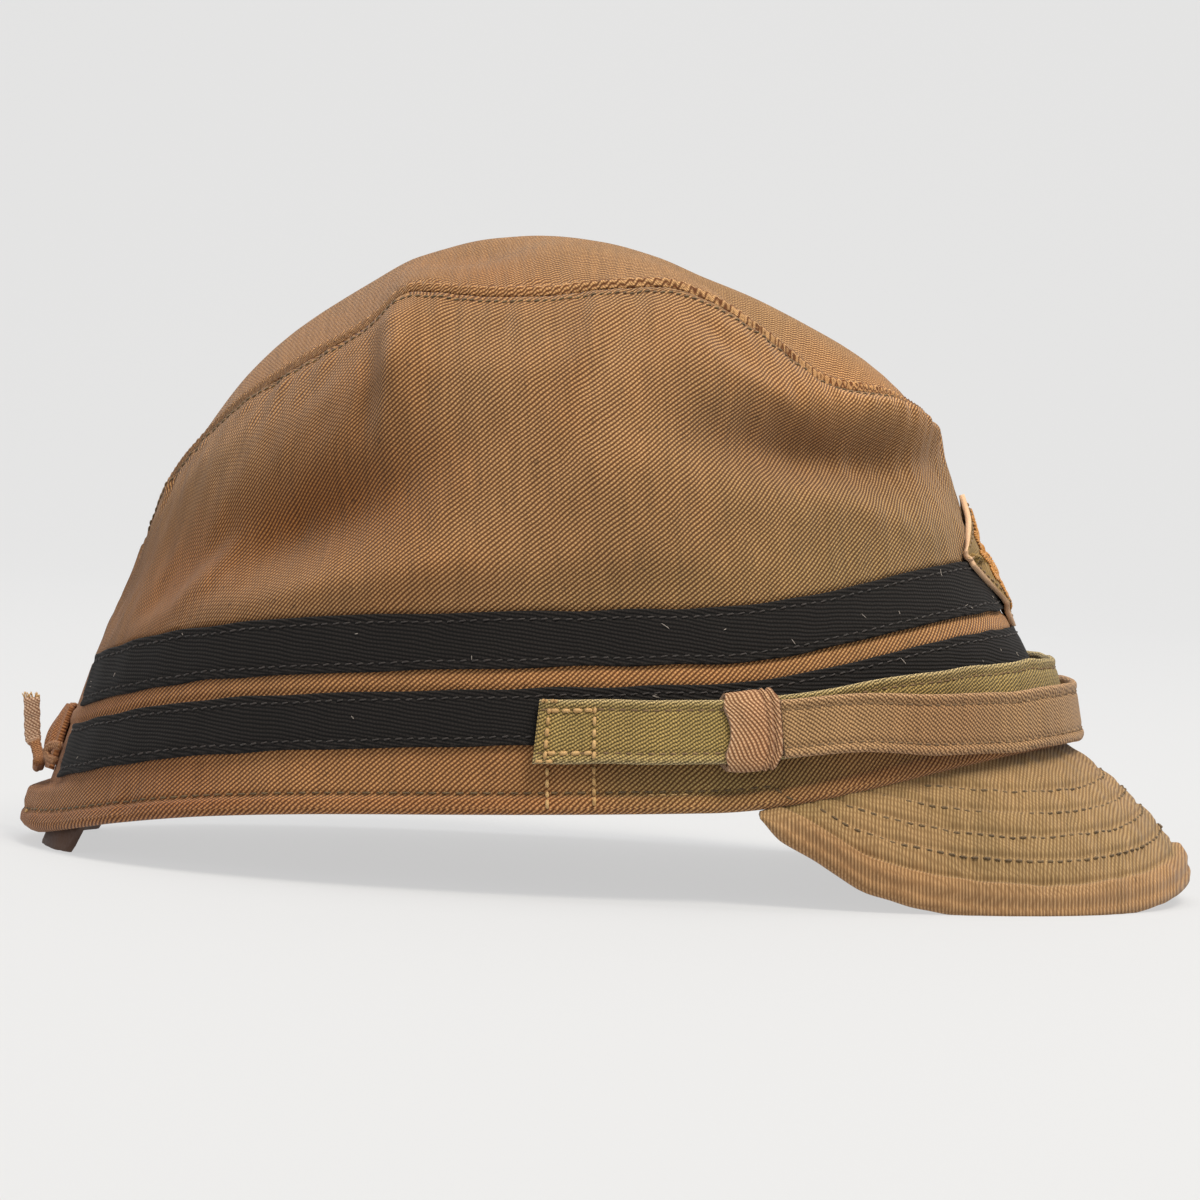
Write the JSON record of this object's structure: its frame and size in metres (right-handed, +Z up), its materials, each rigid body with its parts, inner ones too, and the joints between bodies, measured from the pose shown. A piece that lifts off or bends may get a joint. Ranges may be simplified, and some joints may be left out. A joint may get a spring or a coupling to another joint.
{
  "type": "field cap",
  "caption": "Soft cotton twill field cap with a stitched cloth peak, two dark tapes round the band, a two-part cloth chin strap and a front patch.",
  "frame": {"origin": "centre of the bounding box, on the surface that the cap rests on", "axes": "+X out over the peak, -Y to the wearer's right, +Z up"},
  "size_m": [0.2512, 0.1468, 0.1341],
  "materials": {
    "crown_twill": "khaki-brown cotton twill, faded and a little stained",
    "black_tape": "black twill tape",
    "green_cloth": "olive green plain weave",
    "tan_cloth": "tan fine twill",
    "patch_cloth": "khaki patch with gold-coloured thread",
    "tie_cloth": "pale narrow cloth tie",
    "sweat_leather": "dark brown worn leather"
  },
  "bodies": {
    "root": {"crown_right": "crown_twill", "crown_left": "crown_twill", "crown_top": "crown_twill", "headband": "crown_twill", "peak": "crown_twill", "rear_gusset": "crown_twill", "tape_upper": "black_tape", "tape_lower": "black_tape", "strap_green": "green_cloth", "keeper_green": "green_cloth", "strap_tan": "tan_cloth", "keeper_tan": "tan_cloth", "badge": "patch_cloth", "rear_tie": "tie_cloth", "rear_loop": "tie_cloth", "sweatband": "sweat_leather"}
  },
  "joints": []
}
